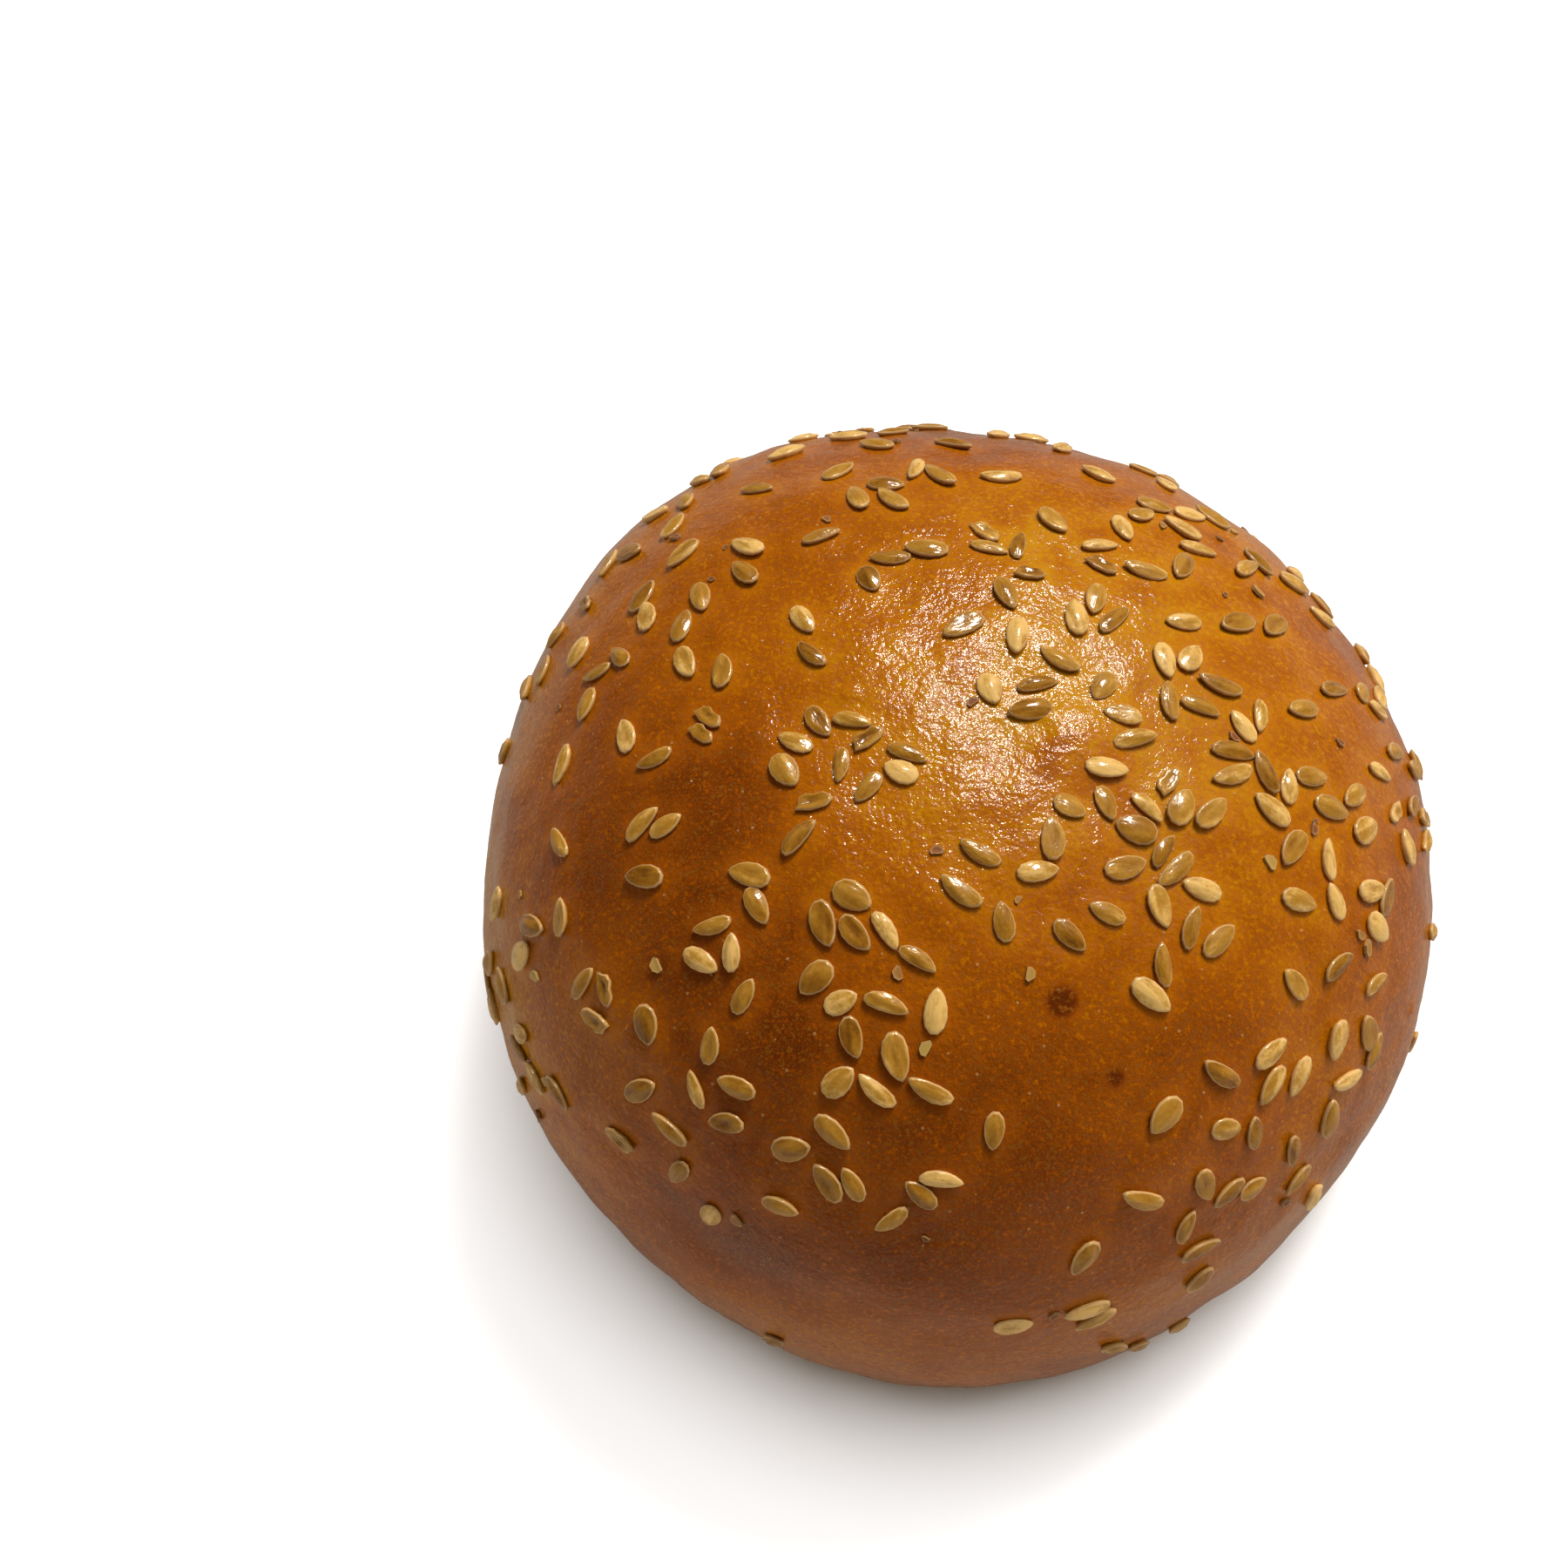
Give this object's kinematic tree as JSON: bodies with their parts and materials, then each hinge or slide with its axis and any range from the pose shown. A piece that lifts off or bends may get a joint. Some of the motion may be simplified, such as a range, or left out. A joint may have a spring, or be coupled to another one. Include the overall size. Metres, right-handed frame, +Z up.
{
  "type": "sesame-seeded bread roll",
  "caption": "Round, domed, egg-glazed soft bread roll with a flat baked foot and a scatter of sesame seeds fused to its crown.",
  "frame": {"origin": "middle of the flat foot that the roll stands on, at the level of the surface under it", "axes": "+Z up through the crown; the side that shows nearest in the picture faces -Y, and +X is to the right there"},
  "size_m": [0.0948, 0.097, 0.0583],
  "materials": {
    "crust": "glossy egg-glazed brown crust",
    "sesame": "satin tan sesame seed"
  },
  "bodies": {
    "root": {"roll": "crust"}
  },
  "joints": []
}
